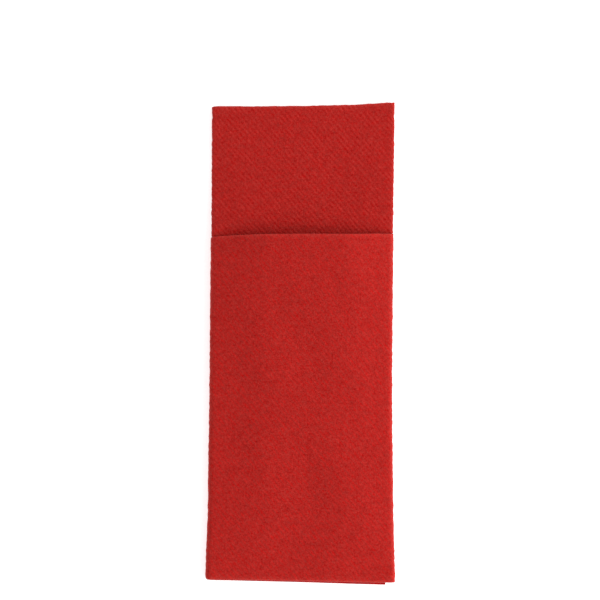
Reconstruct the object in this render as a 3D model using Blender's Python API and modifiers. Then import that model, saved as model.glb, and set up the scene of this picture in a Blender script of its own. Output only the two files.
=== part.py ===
"""A red paper napkin folded into a pocket, as it lies on a table.

One airlaid sheet is folded twice over. First its lower end is turned up, which lays a pocket sheet
on a back sheet, joined along the foot. Then the doubled sheet is folded into four columns that lie
on each other: two of the turns are at the left side and one is at the right, and both cut sides end
behind the right turn. The front column's pocket stands open in two soft ridges that run down to the
foot. The back sheet is longer than the pocket, so four of its layers go on above the mouth.

Units are metres. +X is the napkin's right, +Y its top edge and +Z up from the table, with the origin
on the table under the middle of the napkin.
"""

import math
from collections import namedtuple

import bmesh
import bpy
import numpy as np
from mathutils import Vector

# Paper: the thickness of each layer, and the air between two layers
LAYER = 0.0010
LAYER_GAP = 0.00015
PITCH = LAYER + LAYER_GAP

# Heights of the three ends, before the edges' own unevenness
FOOT = -0.1026
MOUTH = 0.0475
TOP = 0.1035

# The height where the sheet starts to turn round the foot
FOOT_TURN = -0.1015

# How far the pocket's bends are rounded to each side, and the samples that this averages
BEND_ROUNDING = 0.0045
ROUNDING_SAMPLES = 7

# Above the mouth the back layers spread to the full width, and settle on each other
SPREAD_START = 0.0477
SPREAD_LENGTH = 0.0032
SETTLE_LENGTH = 0.0340
BACK_ROWS = (0.0483, 0.0491, 0.0499, 0.0509, 0.0540, 0.0580, 0.0630, 0.0690, 0.0760, 0.0840, 0.0940)

# Steps along the foot's turn
FOOT_STEPS = 6

# The left and right sides, a row for each height
Side = namedtuple("Side", "height left right")
SIDES = (
    Side(-0.1050, -0.0414, 0.0414),
    Side(-0.0920, -0.0412, 0.0410),
    Side(-0.0720, -0.0403, 0.0405),
    Side(-0.0560, -0.0402, 0.0403),
    Side(-0.0350, -0.0398, 0.0400),
    Side(-0.0140, -0.0396, 0.0400),
    Side(0.0280, -0.0392, 0.0403),
    Side(0.0500, -0.0390, 0.0406),
    Side(0.0840, -0.0388, 0.0411),
    Side(0.1050, -0.0387, 0.0413),
)

# The heights of the three ends, a row for each share of the way from the left side to the right
Edge = namedtuple("Edge", "share foot mouth top")
EDGES = (
    Edge(0.00, -0.1025, 0.0461, 0.1025),
    Edge(0.014, -0.1026, 0.0463, 0.1033),
    Edge(0.03, -0.1026, 0.0465, 0.1033),
    Edge(0.14, -0.1027, 0.0471, 0.1033),
    Edge(0.28, -0.1029, 0.0475, 0.1033),
    Edge(0.52, -0.1032, 0.0477, 0.1035),
    Edge(0.78, -0.1037, 0.0476, 0.1040),
    Edge(0.92, -0.1039, 0.0478, 0.1047),
    Edge(1.00, -0.1040, 0.0477, 0.1051),
)

# The pocket's two ridges, a row for each height: where each starts and ends across, its rise above
# the flat pocket sheet, and the rise of the dip between them
SECTION_FIELDS = "height left_start left_end left_rise dip_rise right_start right_end right_rise"
Section = namedtuple("Section", SECTION_FIELDS)
SECTIONS = (
    Section(-0.1015, -0.0150, 0.0020, 0.0000, 0.0000, 0.0145, 0.0280, 0.0000),
    Section(-0.0960, -0.0150, 0.0020, 0.0002, 0.0001, 0.0145, 0.0280, 0.0003),
    Section(-0.0880, -0.0155, 0.0015, 0.0005, 0.0004, 0.0140, 0.0280, 0.0009),
    Section(-0.0780, -0.0160, 0.0010, 0.0008, 0.0006, 0.0135, 0.0280, 0.0014),
    Section(-0.0660, -0.0165, 0.0000, 0.0011, 0.0009, 0.0130, 0.0275, 0.0018),
    Section(-0.0520, -0.0165, -0.0010, 0.0015, 0.0013, 0.0120, 0.0265, 0.0021),
    Section(-0.0350, -0.0165, -0.0020, 0.0020, 0.0018, 0.0110, 0.0255, 0.0024),
    Section(-0.0150, -0.0165, -0.0035, 0.0025, 0.0023, 0.0100, 0.0245, 0.0027),
    Section(0.0080, -0.0165, -0.0050, 0.0030, 0.0028, 0.0085, 0.0230, 0.0030),
    Section(0.0290, -0.0165, -0.0060, 0.0041, 0.0039, 0.0075, 0.0215, 0.0040),
    Section(0.0400, -0.0165, -0.0065, 0.0050, 0.0048, 0.0070, 0.0210, 0.0048),
    Section(0.0475, -0.0165, -0.0070, 0.0057, 0.0055, 0.0070, 0.0205, 0.0055),
)

# The four columns in their order along the sheet, from one cut side to the other. Levels count
# layers up from the table: the back sheet's under the pocket, the pocket sheet's, and the back
# sheet's at the top edge. A set-back is from the right side to a cut side. The drops lower the
# column's left and right ends at the foot. Only the front column stands open.
COLUMN_FIELDS = "steps back_level pocket_level top_level set_back left_drop right_drop opening"
Column = namedtuple("Column", COLUMN_FIELDS)
COLUMNS = (
    Column(4, 2, 3, 1, 0.0050, 0.0007, 0.0011, 0),
    Column(4, 5, 4, 2, 0.0000, 0.0003, 0.0003, 0),
    Column(24, 6, 7, 3, 0.0000, 0.0000, 0.0000, 1),
    Column(4, 1, 0, 0, 0.0042, 0.0006, 0.0014, 0),
)

# The turn after each of the first three columns. An inset counts layers in from the outermost turn
# of that side, for the back sheet, the pocket sheet and the back sheet at the top edge. The bulge is
# how far the turn reaches out for its half height, less where it is pressed flat, and the
# squareness is 2 for a round turn and more for one with tighter corners.
Turn = namedtuple("Turn", "steps side back_inset pocket_inset top_inset bulge squareness")
TURNS = (
    Turn(6, "left", 2, 3, 1, 0.90, 2.0),
    Turn(6, "right", 1, 0, 0, 1.00, 2.0),
    Turn(8, "left", 1, 0, 0, 0.62, 2.8),
)

PAPER_COLOUR = (0.42, 0.017, 0.014, 1.0)
PAPER_ROUGHNESS = 0.92


def read_row(rows, key, place, name):
    """A table's named value at a place along its key column."""
    places, values = ([getattr(row, field) for row in rows] for field in (key, name))
    return float(np.interp(place, places, values))


def eased(share):
    """A share from 0 to 1 that leaves and arrives softly."""
    share = min(1.0, max(0.0, share))
    return share * share * (3 - 2 * share)


def pocket_rise(x, height):
    """How far the open pocket stands above its flat level, in two rounded ridges."""
    left = read_row(SIDES, "height", height, "left") + LAYER / 2
    right = read_row(SIDES, "height", height, "right") - LAYER / 2
    section = Section(*(read_row(SECTIONS, "height", height, name) for name in Section._fields))
    middle = (section.left_end + section.right_start) / 2
    line = (
        (left, 0.0),
        (section.left_start, section.left_rise),
        (section.left_end, section.left_rise),
        (middle, section.dip_rise),
        (section.right_start, section.right_rise),
        (section.right_end, section.right_rise),
        (right, 0.0),
    )
    rounding = max(0.0, min(BEND_ROUNDING, x - left, right - x))
    samples = x + np.linspace(-rounding, rounding, ROUNDING_SAMPLES)
    return float(np.interp(samples, *zip(*line)).mean())


def level_height(column, height, in_pocket):
    """The height above the table of the middle of a column's layer."""
    level = column.pocket_level
    if not in_pocket:
        settled = eased((height - MOUTH) / SETTLE_LENGTH)
        level = column.back_level + (column.top_level - column.back_level) * settled
    return LAYER / 2 + level * PITCH


def turn_curve(index, height, in_pocket):
    """A turn's start across, its reach from there, its middle level and its half height."""
    turn = TURNS[index]
    inset = turn.pocket_inset
    if not in_pocket:
        spread = eased((height - SPREAD_START) / SPREAD_LENGTH)
        inset = turn.back_inset + (turn.top_inset - turn.back_inset) * spread
    first, second = (level_height(column, height, in_pocket) for column in COLUMNS[index : index + 2])
    half_height = (second - first) / 2
    outward = -1 if turn.side == "left" else 1
    outermost = read_row(SIDES, "height", height, turn.side) - outward * (LAYER / 2 + inset * PITCH)
    reach = outward * abs(half_height) * turn.bulge
    return outermost - reach, reach, (first + second) / 2, half_height


def column_ends(index, height, in_pocket):
    """Where a column starts and ends across: each end is at a turn or at a cut side."""
    cut_side = read_row(SIDES, "height", height, "right") - COLUMNS[index].set_back
    start = turn_curve(index - 1, height, in_pocket)[0] if index > 0 else cut_side
    end = turn_curve(index, height, in_pocket)[0] if index < len(TURNS) else cut_side
    return start, end


def stretched(x, height):
    """A height moved with the uneven foot, mouth and top edge."""
    left, right = (read_row(SIDES, "height", height, side) for side in ("left", "right"))
    share = (x - left) / (right - left)
    ends = [read_row(EDGES, "share", share, name) for name in ("foot", "mouth", "top")]
    return float(np.interp(height, (FOOT, MOUTH, TOP), ends))


def section_point(station, height, in_pocket):
    """A point of the napkin's section at a height."""
    kind, index, share = station
    near, far = COLUMNS[index], COLUMNS[index]
    climb = share
    if kind == "column":
        start, end = column_ends(index, height, in_pocket)
        x = start + (end - start) * share
        z = level_height(near, height, in_pocket)
        # Every other column runs from right to left
        near_drop, far_drop = near.right_drop, near.left_drop
        if index % 2:
            near_drop, far_drop = far_drop, near_drop
    else:
        far = COLUMNS[index + 1]
        start, reach, middle, half_height = turn_curve(index, height, in_pocket)
        angle = math.pi * (share - 0.5)
        power = 2 / TURNS[index].squareness
        lift = math.copysign(abs(math.sin(angle)) ** power, angle)
        climb = (1 + lift) / 2
        x = start + reach * math.cos(angle) ** power
        z = middle + half_height * lift
        side_drop = TURNS[index].side + "_drop"
        near_drop, far_drop = getattr(near, side_drop), getattr(far, side_drop)
    if in_pocket:
        z += pocket_rise(x, height) * (near.opening + (far.opening - near.opening) * climb)
    drop = near_drop + (far_drop - near_drop) * share
    lowered = drop * (1 - eased((height - FOOT) / (MOUTH - FOOT)))
    return Vector((x, stretched(x, height) - lowered, z))


def folded_place(across, along):
    """Where a point of the flat sheet comes to lie."""
    kind, value = along
    if kind != "foot":
        return section_point(across, value, kind == "pocket")
    back = section_point(across, FOOT_TURN, False)
    pocket = section_point(across, FOOT_TURN, True)
    angle = math.pi * value
    place = (back + pocket) / 2 + (back - pocket) / 2 * math.cos(angle)
    place.y -= (pocket - back).length / 2 * math.sin(angle)
    return place


def across_stations():
    """The steps across the unfolded sheet, each as a column or turn, its number and a share of it."""
    stations = []
    for index, column in enumerate(COLUMNS):
        stations += [("column", index, step / column.steps) for step in range(column.steps + 1)]
        if index < len(TURNS):
            steps = TURNS[index].steps
            stations += [("turn", index, step / steps) for step in range(1, steps)]
    return stations


def along_stations():
    """The steps along the unfolded sheet, from the top edge down, round the foot and up to the mouth."""
    pocket = [row.height for row in SECTIONS]
    back = [TOP, *reversed(BACK_ROWS), *reversed(pocket)]
    foot = [step / FOOT_STEPS for step in range(1, FOOT_STEPS)]
    rows = (("back", back), ("foot", foot), ("pocket", pocket))
    return [(kind, value) for kind, values in rows for value in values]


def folded_sheet():
    """A flat grid with each of its points carried to its folded place."""
    across, along = across_stations(), along_stations()
    sheet = bmesh.new()
    bmesh.ops.create_grid(sheet, x_segments=len(across) - 1, y_segments=len(along) - 1, size=1.0)
    for point in sheet.verts:
        column = round((point.co.x + 1) / 2 * (len(across) - 1))
        row = round((point.co.y + 1) / 2 * (len(along) - 1))
        point.co = folded_place(across[column], along[row])
    bmesh.ops.recalc_face_normals(sheet, faces=sheet.faces)
    return sheet


def paper():
    """Dull red paper."""
    material = bpy.data.materials.new("red_paper")
    material.use_nodes = True
    shader = material.node_tree.nodes["Principled BSDF"]
    shader.inputs["Base Color"].default_value = PAPER_COLOUR
    shader.inputs["Roughness"].default_value = PAPER_ROUGHNESS
    shader.inputs["Metallic"].default_value = 0.0
    return material


def make_napkin(collection):
    """The folded sheet with its thickness, as one closed solid."""
    mesh = bpy.data.meshes.new("napkin")
    sheet = folded_sheet()
    sheet.to_mesh(mesh)
    sheet.free()
    mesh.shade_smooth()
    mesh.materials.append(paper())
    napkin = bpy.data.objects.new("napkin", mesh)
    collection.objects.link(napkin)
    thickness = napkin.modifiers.new("paper_thickness", "SOLIDIFY")
    thickness.thickness = LAYER
    thickness.offset = 0.0
    thickness.use_even_offset = True
    thickness.use_rim = True
    return napkin


def main():
    """Clears the scene and makes the napkin in its own collection."""
    for old in list(bpy.data.objects):
        bpy.data.objects.remove(old)
    collection = bpy.data.collections.new("paper_napkin")
    bpy.context.scene.collection.children.link(collection)
    make_napkin(collection)


main()
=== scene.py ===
"""The look of a red paper napkin folded into a pocket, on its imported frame.

Metres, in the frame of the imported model: +X is the napkin's right, +Y its top edge and +Z up from the
table that it lies on.
"""

import math

import bpy
import numpy as np
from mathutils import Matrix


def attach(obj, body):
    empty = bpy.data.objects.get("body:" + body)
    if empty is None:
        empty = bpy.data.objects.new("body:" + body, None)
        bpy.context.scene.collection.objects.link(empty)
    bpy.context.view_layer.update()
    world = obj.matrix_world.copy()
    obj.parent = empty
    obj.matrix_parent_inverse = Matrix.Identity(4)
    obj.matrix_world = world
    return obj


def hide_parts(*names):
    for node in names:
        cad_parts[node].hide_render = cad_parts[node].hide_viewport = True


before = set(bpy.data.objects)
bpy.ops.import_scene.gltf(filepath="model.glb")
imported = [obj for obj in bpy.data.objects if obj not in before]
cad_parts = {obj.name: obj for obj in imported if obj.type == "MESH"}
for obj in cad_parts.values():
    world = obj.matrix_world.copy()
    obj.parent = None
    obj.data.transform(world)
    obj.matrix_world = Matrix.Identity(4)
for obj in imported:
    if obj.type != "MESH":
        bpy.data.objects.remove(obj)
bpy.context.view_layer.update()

# ---- Camera ----
# The photograph looks straight down on the napkin from a good distance. One of its pixels is 0.4354 mm
# at the height of the napkin's folds, and its middle is a little above the napkin's own middle.
PHOTO_PIXELS = 600
PIXEL_SIZE = 0.0004354
VIEW_MIDDLE = (-0.00015, 0.01887)
FOLD_HEIGHT = 0.0050
CAMERA_DISTANCE = 2.5
SENSOR_WIDTH = 36.0

lens = bpy.data.cameras.new("camera")
lens.sensor_width = SENSOR_WIDTH
lens.lens = SENSOR_WIDTH * CAMERA_DISTANCE / (PHOTO_PIXELS * PIXEL_SIZE)
lens.clip_start, lens.clip_end = 0.01, 20.0
camera = bpy.data.objects.new("camera", lens)
camera.location = (*VIEW_MIDDLE, FOLD_HEIGHT + CAMERA_DISTANCE)
bpy.context.collection.objects.link(camera)
bpy.context.scene.camera = camera
bpy.context.scene.view_settings.view_transform = "Standard"

# ---- Table and studio light ----
# A plain white table under the napkin, which glows a little itself and so keeps shadows pale, in the
# soft light of a white room. A softbox stands low at the right and lights that side more.
TABLE_SIZE = 6.0
TABLE_COLOUR = (0.97, 0.97, 0.97, 1.0)
TABLE_GLOW = 0.45
ROOM_LIGHT = 0.80
SOFTBOXES = np.rec.fromrecords(
    [
        ("key_light", 0.63, -0.14, 0.34, 0.40, 8.6),
    ],
    names="name, x, y, z, size, watts",
)

table_mesh = bpy.data.meshes.new("table")
corners = TABLE_SIZE / 2 * np.array([(-1, -1, 0), (1, -1, 0), (1, 1, 0), (-1, 1, 0)])
table_mesh.from_pydata(corners.tolist(), [], [(0, 1, 2, 3)])
table_finish = bpy.data.materials.new("table_white")
table_finish.use_nodes = True
table_shader = table_finish.node_tree.nodes["Principled BSDF"]
table_shader.inputs["Base Color"].default_value = TABLE_COLOUR
table_shader.inputs["Roughness"].default_value = 0.9
table_shader.inputs["Specular IOR Level"].default_value = 0.0
table_shader.inputs["Emission Color"].default_value = (1.0, 1.0, 1.0, 1.0)
table_shader.inputs["Emission Strength"].default_value = TABLE_GLOW
table_mesh.materials.append(table_finish)
table = bpy.data.objects.new("table", table_mesh)
bpy.context.collection.objects.link(table)

room = bpy.data.worlds.new("white_room")
room.use_nodes = True
room.node_tree.nodes["Background"].inputs["Color"].default_value = (1.0, 1.0, 1.0, 1.0)
room.node_tree.nodes["Background"].inputs["Strength"].default_value = ROOM_LIGHT
bpy.context.scene.world = room

for box in SOFTBOXES:
    light = bpy.data.lights.new(box.name, "AREA")
    light.shape, light.size, light.energy = "SQUARE", float(box.size), float(box.watts)
    softbox = bpy.data.objects.new(box.name, light)
    softbox.location = (box.x, box.y, box.z)
    tilt = math.atan2(math.hypot(box.x, box.y), box.z)
    softbox.rotation_euler = (0.0, tilt, math.atan2(box.y, box.x))
    bpy.context.collection.objects.link(softbox)

# ---- Napkin ----
# One sheet of soft airlaid paper, 330 x 400 mm and about half a millimetre thick, dyed red and embossed
# with fine slanting lines. Its lower end is turned up to a pocket and its edge turned in as a hem, then
# the doubled sheet is folded into four columns on each other. Nothing is glued or sewn.
SHEET_WIDTH = 0.330
SHEET_LENGTH = 0.400
SHEET_THICKNESS = 0.0005

# Heights on the table of the foot's fold, the pocket's mouth and the top edge
FOOT = -0.1026
MOUTH = 0.0475
TOP = 0.1035
FOOT_TURN = -0.10165
MOUTH_TURN = 0.046975
HEM_LENGTH = 0.043

# The left and right sides at each height
SIDES = np.rec.fromrecords(
    [
        (-0.1050, -0.0414, 0.0414),
        (-0.0920, -0.0412, 0.0410),
        (-0.0720, -0.0403, 0.0405),
        (-0.0560, -0.0402, 0.0403),
        (-0.0350, -0.0398, 0.0400),
        (-0.0140, -0.0396, 0.0400),
        (0.0280, -0.0392, 0.0403),
        (0.0500, -0.0390, 0.0406),
        (0.0840, -0.0388, 0.0411),
        (0.1050, -0.0387, 0.0413),
    ],
    names="height, left, right",
)
SIDE_SMOOTHING = 0.006

# Where the three ends really lie, at each share of the way from the left side to the right
EDGES = np.rec.fromrecords(
    [
        (0.00, -0.1025, 0.0461, 0.1025),
        (0.014, -0.1026, 0.0463, 0.1033),
        (0.03, -0.1026, 0.0465, 0.1033),
        (0.14, -0.1027, 0.0471, 0.1033),
        (0.28, -0.1029, 0.0475, 0.1033),
        (0.52, -0.1032, 0.0477, 0.1035),
        (0.78, -0.1037, 0.0476, 0.1040),
        (0.92, -0.1039, 0.0478, 0.1047),
        (1.00, -0.1040, 0.0477, 0.1051),
    ],
    names="share, foot, mouth, top",
)
END_SMOOTHING = 0.008

# The pocket's two ridges: where each starts and ends across, its rise, and the dip between them
SECTIONS = np.rec.fromrecords(
    [
        (-0.1015, -0.0150, 0.0020, 0.0000, 0.0000, 0.0145, 0.0280, 0.0000),
        (-0.0960, -0.0150, 0.0020, 0.0002, 0.0001, 0.0145, 0.0280, 0.0003),
        (-0.0880, -0.0155, 0.0015, 0.0005, 0.0004, 0.0140, 0.0280, 0.0009),
        (-0.0780, -0.0160, 0.0010, 0.0008, 0.0006, 0.0135, 0.0280, 0.0014),
        (-0.0660, -0.0165, 0.0000, 0.0011, 0.0009, 0.0130, 0.0275, 0.0018),
        (-0.0520, -0.0165, -0.0010, 0.0015, 0.0013, 0.0120, 0.0265, 0.0021),
        (-0.0350, -0.0165, -0.0020, 0.0020, 0.0018, 0.0110, 0.0255, 0.0024),
        (-0.0150, -0.0165, -0.0035, 0.0025, 0.0023, 0.0100, 0.0245, 0.0027),
        (0.0080, -0.0165, -0.0050, 0.0030, 0.0028, 0.0085, 0.0230, 0.0030),
        (0.0290, -0.0165, -0.0060, 0.0041, 0.0039, 0.0075, 0.0215, 0.0040),
        (0.0400, -0.0165, -0.0065, 0.0050, 0.0048, 0.0070, 0.0210, 0.0048),
        (0.0475, -0.0165, -0.0070, 0.0057, 0.0055, 0.0070, 0.0205, 0.0055),
        (0.0600, -0.0165, -0.0075, 0.0075, 0.0073, 0.0065, 0.0200, 0.0073),
    ],
    names="height, left_start, left_end, left_rise, dip_rise, right_start, right_end, right_rise",
)

# How far in from the left side the pocket starts to rise
FLANK_INSET = 0.0030

# How softly the paper bends at each of the seven places where the pocket's profile changes
BEND_WIDTHS = (0.0030, 0.0030, 0.0050, 0.0060, 0.0050, 0.0045, 0.0003)

# The four columns in their order along the sheet, from one cut side to the other: the middle heights
# of the back, pocket and hem layers and of the back layer at the top edge, how far a cut side is set
# back from the right, how far the foot's two corners hang lower, and how far the top edge is short
COLUMNS = np.rec.fromrecords(
    [
        (14, 0.00280, 0.00395, 0.00336, 0.00155, 0.0050, 0.0007, 0.0006, 0.0003, 0.0),
        (14, 0.00620, 0.00505, 0.00563, 0.00285, 0.0000, 0.0003, 0.0003, 0.0001, 0.0),
        (50, 0.00740, 0.00880, 0.00825, 0.00420, 0.0000, 0.0000, 0.0000, 0.0000, 1.0),
        (14, 0.00162, 0.00025, 0.00082, 0.00025, 0.0042, 0.0006, 0.0014, 0.0002, 0.0),
    ],
    names="steps, back, pocket, hem, top, set_back, left_drop, right_drop, short, opening",
)

# The turn after each of the first three columns: -1 at the left side or 1 at the right, the insets of
# its layers, how far the back and the rest reach out for their half height, and how tight its corners
# are. Above the mouth the back spreads out to the top edge's insets, and its layers settle to the top
# edge's levels.
TURNS = np.rec.fromrecords(
    [
        (8, -1.0, 0.0024, 0.0035, 0.00295, 0.00140, 0.90, 0.90, 2.0),
        (12, 1.0, 0.00145, 0.00025, 0.00085, 0.00047, 2.20, 1.00, 2.0),
        (14, -1.0, 0.00145, 0.00025, 0.00085, 0.00047, 0.62, 0.55, 2.8),
    ],
    names="steps, side, back, pocket, hem, top, back_bulge, bulge, squareness",
)
SPREAD_LENGTH = 0.0004
SETTLE_LENGTH = 0.0340

# How square the folds at the foot and the mouth are pressed: in the sides' turns, and along the mouth
TURN_PRESS = 0.6
MOUTH_PRESS = 0.45

# The number of rows along the sheet in each stretch of it
SEEN_ROWS, SPREAD_ROWS, HIDDEN_ROWS, FOOT_STEPS = 71, 6, 52, 8
POCKET_ROWS, MOUTH_STEPS, HEM_ROWS = 188, 10, 16

# The stack's unevenness as shares of its height, and the wavy fold lines. Each has a wave length and
# the seed of its waves.
STACK_WAVES = np.rec.fromrecords([(0.022, 0.034, 3), (0.003, 0.009, 5)], names="share, length, seed")
FOLD_WAVE_DEPTH, FOLD_WAVE_LENGTH, FOLD_WAVE_SEED = 0.00007, 0.0022, 7

# How far the cut edges stray outwards and inwards
TOP_STRAY = (-0.00012, 0.00006)
CUT_SIDE_STRAY = (-0.00012, 0.00012)

# How wide the paler rim is on the front column, partly colour worn off and partly a painted highlight on
# the lit fold edges, and how strongly the columns behind it are painted: less than nought, as painted
# shade there
RIM_WEAR_AND_SHADING_WIDTH = 0.0006
PAINTED_SHADE_BEHIND = -0.3


def eased(share):
    """Shares that leave 0 and reach 1 softly: three times the square less twice the cube."""
    share = np.clip(share, 0.0, 1.0)
    return share * share * (3 - 2 * share)


def read(rows, name, places, spread=0.0):
    """A table's column at places along the first column, as the mean over a spread to either side."""
    around = places[..., None] + spread * np.linspace(-1.0, 1.0, 9)
    return np.interp(around, rows[rows.dtype.names[0]], rows[name]).mean(axis=-1)


def waves(across, along, length, seed, count=14):
    """Soft unevenness: sine waves of about one length that run in all directions, added up."""
    chance = np.random.default_rng(seed)
    turn, start = chance.uniform(0.0, 2 * math.pi, (2, count))
    pitch = 2 * math.pi / (length * chance.uniform(0.7, 1.5, count))
    run = across[..., None] * np.cos(turn) + along[..., None] * np.sin(turn)
    return np.sin(run * pitch + start).sum(axis=-1) / math.sqrt(count / 2)


def pocket_rise(x, heights):
    """The open pocket's rise: at each bend the slope changes, and the change acts on all that lies to
    the right of it. The corner is half of the distance plus the root of its square plus the width's."""
    rows = {name: read(SECTIONS, name, heights, SIDE_SMOOTHING) for name in SECTIONS.dtype.names[1:]}
    left, right = (read(SIDES, side, heights, SIDE_SMOOTHING) for side in ("left", "right"))
    none = np.zeros_like(left)
    profile = (
        (left + FLANK_INSET, none),
        (rows["left_start"], rows["left_rise"]),
        (rows["left_end"], rows["left_rise"]),
        ((rows["left_end"] + rows["right_start"]) / 2, rows["dip_rise"]),
        (rows["right_start"], rows["right_rise"]),
        (rows["right_end"], rows["right_rise"]),
        (right, none),
    )
    places, rises = np.array(profile).swapaxes(0, 1)
    slopes = np.pad(np.diff(rises, axis=0) / np.diff(places, axis=0), ((1, 1), (0, 0)))
    distance = x - places[:, :, None]
    corner = (distance + np.sqrt(distance**2 + np.array(BEND_WIDTHS)[:, None, None] ** 2)) / 2
    return (np.diff(slopes, axis=0)[:, :, None] * corner).sum(axis=0)


# The stations across the unfolded sheet: column or turn, which one, and a share of it
spans = [("column", i, np.linspace(0, 1, c.steps + 1)) for i, c in enumerate(COLUMNS)]
for i, turn in enumerate(TURNS):
    spans.insert(2 * i + 1, ("turn", i, np.linspace(0, 1, turn.steps + 1)[1:-1]))
shares = np.concatenate([share for _, _, share in spans])
near = np.concatenate([np.full(len(share), i) for _, i, share in spans])
turning = np.concatenate([np.full(len(share), kind == "turn") for kind, _, share in spans])
far = near + turning
turn_of = np.minimum(near, len(TURNS) - 1)


def section(layer, heights):
    """The rows of one layer's section: level columns joined by turns, whose outline is a circle that
    is pressed squarer by a power of the cosine and the sine."""
    h = heights[:, None]
    above = eased((h - MOUTH) / SETTLE_LENGTH) if layer == "back" else 0 * h
    spread = eased((h - MOUTH) / SPREAD_LENGTH) if layer == "back" else 0 * h
    levels = COLUMNS[layer] + (COLUMNS.top - COLUMNS[layer]) * above
    insets = TURNS[layer] + (TURNS.top - TURNS[layer]) * spread
    left, right = (read(SIDES, side, h, SIDE_SMOOTHING) for side in ("left", "right"))
    halves = (levels[:, 1:] - levels[:, :-1]) / 2
    reaches = TURNS.side * np.abs(halves) * (TURNS.back_bulge if layer == "back" else TURNS.bulge)
    starts = np.where(TURNS.side < 0, left, right) - TURNS.side * insets - reaches
    cut = right - COLUMNS.set_back
    column_starts = np.hstack([cut[:, :1], starts])
    column_ends = np.hstack([starts, cut[:, -1:]])
    angle = math.pi * (shares - 0.5)
    power = 2 / TURNS.squareness[turn_of]
    out, up = np.abs(np.cos(angle)) ** power, np.sign(angle) * np.abs(np.sin(angle)) ** power
    flat_x = column_starts[:, near] + (column_ends - column_starts)[:, near] * shares
    turn_x = starts[:, turn_of] + reaches[:, turn_of] * out
    x = np.where(turning, turn_x, flat_x)
    turn_z = (levels[:, near] + levels[:, far]) / 2 + halves[:, turn_of] * up
    z = np.where(turning, turn_z, levels[:, near])
    if layer != "back":
        climb = np.where(turning, (1 + up) / 2, 0.0)
        opening = COLUMNS.opening[near] + (COLUMNS.opening[far] - COLUMNS.opening[near]) * climb
        z = z + pocket_rise(x, heights) * opening
    # Every other column runs from left to right, so each station's drop lies between those of two corners
    drops = np.stack([COLUMNS.left_drop, COLUMNS.right_drop])
    starts_right, ends_right = (near % 2 == 0) != turning, near % 2 == 1
    first, last = drops[starts_right.astype(int), near], drops[ends_right.astype(int), far]
    drop = (first + (last - first) * shares) * (1 - eased((h - FOOT) / (MOUTH - FOOT)))
    across = (x - left) / (right - left)
    foot, mouth, top = (read(EDGES, name, across, END_SMOOTHING) for name in ("foot", "mouth", "top"))
    lower = foot + (mouth - foot) * (h - FOOT) / (MOUTH - FOOT)
    upper = mouth + (top - mouth) * (h - MOUTH) / (TOP - MOUTH)
    short = COLUMNS.short[near] * eased((h - MOUTH) / (TOP - MOUTH))
    y = np.where(h < MOUTH, lower, upper) - drop - short
    return np.stack([x, y, z], axis=-1)


def rolled(first, second, direction, steps, pressed=0.0):
    """The rows of a fold between two layers: a half circle on their distance, bulging along Y. Where the
    fold is pressed and in the sides' turns, a lower power of its cosine and sine makes it squarer."""
    angle = math.pi * np.linspace(0, 1, steps + 1)[1:-1, None]
    power = 1 - np.maximum(pressed, TURN_PRESS * np.where(turning, np.sin(math.pi * shares), 0.0))
    swing = np.sign(np.cos(angle)) * np.abs(np.cos(angle)) ** power
    rows = (first + second) / 2 + (first - second) / 2 * swing[..., None]
    bulge = np.linalg.norm(second - first, axis=-1) / 2
    rows[..., 1] += direction * bulge * np.sin(angle) ** power
    return rows


# The rows along the sheet: down the back, round the foot, up the pocket, over the mouth, down the hem
seen = np.linspace(TOP, MOUTH + 3 * SPREAD_LENGTH, SEEN_ROWS)
spreading = np.linspace(MOUTH + SPREAD_LENGTH, MOUTH, SPREAD_ROWS)
hidden = np.linspace(MOUTH, FOOT_TURN, HIDDEN_ROWS)[1:]
back = section("back", np.concatenate([seen, spreading, hidden]))
pocket = section("pocket", np.linspace(FOOT_TURN, MOUTH_TURN, POCKET_ROWS))
hem = section("hem", np.linspace(MOUTH_TURN, MOUTH - HEM_LENGTH, HEM_ROWS))
sheet = np.concatenate([
    back,
    rolled(back[-1:], pocket[:1], -1, FOOT_STEPS),
    pocket,
    rolled(pocket[-1:], hem[:1], 1, MOUTH_STEPS, MOUTH_PRESS),
    hem,
])
rows, stations = sheet.shape[:2]

# The whole stack is a little uneven, and the folds and cut edges are slightly rough
x, y, z = np.moveaxis(sheet, -1, 0)
z *= 1 + sum(wave.share * waves(x, y, wave.length, wave.seed) for wave in STACK_WAVES)
at_fold = np.where(turning, TURNS.side[turn_of] * np.cos(math.pi * (shares - 0.5)), 0.0)
x += FOLD_WAVE_DEPTH * at_fold * waves(y, np.full_like(y, 0.3), FOLD_WAVE_LENGTH, FOLD_WAVE_SEED)
chance = np.random.default_rng(11)
y[0] += chance.uniform(*TOP_STRAY, stations)
x[:, 0] += chance.uniform(*CUT_SIDE_STRAY, rows)
x[:, -1] += chance.uniform(*CUT_SIDE_STRAY, rows)


def measured(points, size):
    """The way along a line of points, scaled to the sheet's own size."""
    way = np.concatenate([[0.0], np.cumsum(np.linalg.norm(np.diff(points, axis=0), axis=-1))])
    return way / way[-1] * size


# Both faces of the sheet, half a thickness to either side of its middle
facing = np.cross(np.gradient(sheet, axis=1), np.gradient(sheet, axis=0))
facing /= np.linalg.norm(facing, axis=-1, keepdims=True)
points = np.concatenate([
    (sheet + facing * SHEET_THICKNESS / 2).reshape(-1, 3),
    (sheet - facing * SHEET_THICKNESS / 2).reshape(-1, 3),
])

# Four-cornered faces of both sides, and of the cut edge that joins them all round
number = np.arange(rows * stations).reshape(rows, stations)
quads = np.stack([number[:-1, :-1], number[:-1, 1:], number[1:, 1:], number[1:, :-1]], axis=-1)
quads = quads.reshape(-1, 4)
other = rows * stations
rim = np.concatenate([number[0, :-1], number[:-1, -1], number[-1, :0:-1], number[:0:-1, 0]])
rim_next = np.roll(rim, -1)
edge_quads = np.stack([rim, rim + other, rim_next + other, rim_next], axis=-1)
faces = np.concatenate([quads, quads[:, ::-1] + other, edge_quads])

paper_mesh = bpy.data.meshes.new("folded_paper")
paper_mesh.from_pydata(points, [], faces.tolist())

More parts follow.
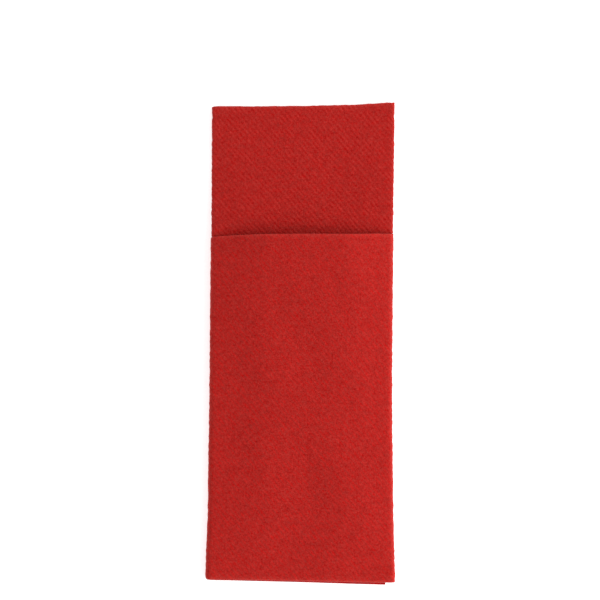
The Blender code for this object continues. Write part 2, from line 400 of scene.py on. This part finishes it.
# The sheet's own measures as its UV map, mirrored on the reverse so that both faces read alike
u, v = np.meshgrid(
    measured(pocket[POCKET_ROWS // 2], SHEET_WIDTH),
    measured(sheet[:, stations // 2], SHEET_LENGTH),
)
uv = np.stack([np.concatenate([u, -u]), np.concatenate([v, v])], axis=-1).reshape(-1, 2)
face_corners = np.empty(len(paper_mesh.loops), dtype=np.int32)
paper_mesh.loops.foreach_get("vertex_index", face_corners)
sheet_map = paper_mesh.uv_layers.new(name="sheet")
sheet_map.data.foreach_set("uv", uv[face_corners].astype(np.float32).ravel())

# How near a point lies to the folded napkin's outline. There the front column is painted paler, partly as
# colour worn off and partly as a painted highlight on the lit fold edges, and the columns behind are
# painted darker as painted shade
left, right = (read(SIDES, side, y, SIDE_SMOOTHING) for side in ("left", "right"))
across = (x - left) / (right - left)
foot, mouth, top = (read(EDGES, name, across) for name in ("foot", "mouth", "top"))
end = np.where(np.arange(rows)[:, None] < len(back), top, mouth)
distance = np.minimum(np.minimum(x - left, right - x), np.minimum(end - y, y - foot))
# Weight 1 paints the front column's rim paler (worn colour and painted highlight); the negative weight
# behind paints shade
rim_wear_and_shading_weight = np.where((COLUMNS.opening[near] > 0) | (COLUMNS.opening[far] > 0), 1.0, PAINTED_SHADE_BEHIND)
outline = rim_wear_and_shading_weight * np.exp(-np.maximum(distance, 0.0) / RIM_WEAR_AND_SHADING_WIDTH)
rim_wear_and_painted_shading = paper_mesh.attributes.new("rim_wear_and_painted_shading", "FLOAT", "POINT")
rim_wear_and_painted_shading.data.foreach_set("value", np.tile(outline.ravel(), 2).astype(np.float32))

paper_mesh.shade_smooth()
paper_mesh.set_sharp_from_angle(angle=math.radians(60))
napkin = bpy.data.objects.new("folded_napkin", paper_mesh)
bpy.context.collection.objects.link(napkin)


class Tone:
    """A value that varies over the paper: one output of the material's nodes. The operators between
    tones and numbers add Math nodes, and node() adds any other."""

    def __init__(self, tree, socket=None):
        self.tree, self.socket = tree, socket

    def node(self, kind, settings, inputs, output):
        """One node: its settings come first, then its sockets' values or links; gives one output."""
        made = self.tree.nodes.new(kind)
        for name, value in settings.items():
            setattr(made, name, value)
        sockets = {socket.identifier: socket for socket in made.inputs}
        for name, value in inputs.items():
            if isinstance(value, Tone):
                self.tree.links.new(value.socket, sockets[name])
            else:
                sockets[name].default_value = value
        outputs = {socket.identifier: socket for socket in made.outputs}
        return Tone(self.tree, outputs[output])

    def math(self, operation, first, second=0.0):
        """One Math node on tones or numbers."""
        inputs = {"Value": first, "Value_001": second}
        return self.node("ShaderNodeMath", {"operation": operation}, inputs, "Value")

    def __add__(self, other):
        return self.math("ADD", self, other)

    def __radd__(self, other):
        return self.math("ADD", other, self)

    def __sub__(self, other):
        return self.math("SUBTRACT", self, other)

    def __rsub__(self, other):
        return self.math("SUBTRACT", other, self)

    def __mul__(self, other):
        return self.math("MULTIPLY", self, other)

    def __rmul__(self, other):
        return self.math("MULTIPLY", other, self)


EMBOSS_PITCH = 0.00181
EMBOSS_LEAN = math.radians(42)
LINE_TURNS = (0.0, -math.pi / 2, 1.3)
DARK_RED = (0.145, 0.0015, 0.0010, 1.0)
VIVID_RED = (0.505, 0.0015, 0.0010, 1.0)
# Pale pink of lint and loose fibres, also used for the painted highlight on the rim
PINK_LINT_AND_HIGHLIGHT = (0.62, 0.090, 0.071, 1.0)

red_paper = bpy.data.materials.new("red_airlaid_paper")
red_paper.use_nodes = True
shader = red_paper.node_tree.nodes["Principled BSDF"]
paper = Tone(red_paper.node_tree)
place = paper.node("ShaderNodeUVMap", {"uv_map": "sheet"}, {}, "UV")
# The rim's worn colour, painted highlight and painted shade, read from the mesh
rim_wear_and_shading_tone = paper.node("ShaderNodeAttribute", {"attribute_name": "rim_wear_and_painted_shading"}, {}, "Fac")


def noise(size, detail, start=0.0):
    """Soft noise about nought whose features have that size. Another start gives another pattern."""
    moved = {"Vector": place, "Vector_001": (start, start, 0.0)}
    from_start = paper.node("ShaderNodeVectorMath", {"operation": "ADD"}, moved, "Vector")
    inputs = {"Vector": from_start, "Scale": 1 / size, "Detail": detail, "Roughness": 0.6}
    return paper.node("ShaderNodeTexNoise", {}, inputs, "Fac") - 0.5


def fibres(turn, width, length):
    """Noise drawn out along one direction, as fibres that lie on the paper."""
    rotation, scale = (0.0, 0.0, math.radians(turn)), (1.0, width / length, 1.0)
    inputs = {"Vector": place, "Rotation": rotation, "Scale": scale}
    drawn = paper.node("ShaderNodeMapping", {"vector_type": "TEXTURE"}, inputs, "Vector")
    inputs = {"Vector": drawn, "Scale": 1 / width, "Detail": 1.0}
    return paper.node("ShaderNodeTexNoise", {}, inputs, "Fac") - 0.5


grain = noise(0.00055, 2.0)
flecks = noise(0.0015, 0.0)
patches = noise(0.0032, 0.0)
clouds = noise(0.011, 1.0)
lint = noise(0.0007, 2.0, 0.5) * 0.54
lint += noise(0.0015, 0.0, 0.5) * 0.14 + noise(0.0035, 0.0, 0.5) * 0.08
threads = fibres(20, 0.0003, 0.0026) + fibres(78, 0.0003, 0.0022) + fibres(-40, 0.00035, 0.0030)
loose = {"Value": threads, "From Min": 0.25, "From Max": 0.42}
strays = paper.node("ShaderNodeMapRange", {}, loose, "Result")

# The embossed lines: a sine wave along a slant, a little wandering, and deeper in some patches. Their
# slopes that face the key light are painted lighter and those that face away painted darker, as painted
# shade, and their crests are pinker.
lean = {"Vector": place, "Vector_001": (math.cos(EMBOSS_LEAN), math.sin(EMBOSS_LEAN), 0.0)}
slant = paper.node("ShaderNodeVectorMath", {"operation": "DOT_PRODUCT"}, lean, "Value")
phase = slant * (2 * math.pi / EMBOSS_PITCH) + noise(0.012, 1.0) * 3.0
depth = 0.85 + patches * 2.5
# slopes: the emboss lines' painted shade, lighter on the side that faces the key light
ridges, slopes, crests = (paper.math("SINE", phase + turn) * depth for turn in LINE_TURNS)

tufts = grain * 0.7 + threads * 0.5 + flecks * 0.35
# The rim tone paints the front column's fold edges lighter and pinker, partly worn colour and partly
# painted highlight, and the columns behind darker, as painted shade
shade = 0.50 + tufts + patches * 0.25 + clouds * 0.12 + slopes * 0.030 + rim_wear_and_shading_tone * 0.12
pink = 0.128 + lint + crests * 0.027 + strays * 0.25 + rim_wear_and_shading_tone * 0.2
# Dark to vivid red: random tone, plus the painted shade of the emboss slopes and the rim's painted
# highlight and shade
dye_and_painted_shading = {"Factor_Float": shade, "A_Color": DARK_RED, "B_Color": VIVID_RED}
red = paper.node("ShaderNodeMix", {"data_type": "RGBA"}, dye_and_painted_shading, "Result_Color")
lint_and_highlight_mix = {"Factor_Float": pink, "A_Color": red, "B_Color": PINK_LINT_AND_HIGHLIGHT}
colour = paper.node("ShaderNodeMix", {"data_type": "RGBA"}, lint_and_highlight_mix, "Result_Color")
relief = ridges * 0.000066 + threads * 0.00005 + grain * 0.00006
bump = paper.node("ShaderNodeBump", {}, {"Height": relief, "Distance": 1.0, "Strength": 1.0}, "Normal")
roughness = 0.9 + grain * 0.2 + threads * 0.1
for name, tone in {"Base Color": colour, "Roughness": roughness, "Normal": bump}.items():
    red_paper.node_tree.links.new(tone.socket, shader.inputs[name])
shader.inputs["Specular IOR Level"].default_value = 0.08
shader.inputs["Sheen Weight"].default_value = 0.10
shader.inputs["Sheen Roughness"].default_value = 0.4
shader.inputs["Sheen Tint"].default_value = (1.0, 0.62, 0.58, 1.0)
paper_mesh.materials.append(red_paper)

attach(napkin, "root")
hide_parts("napkin")
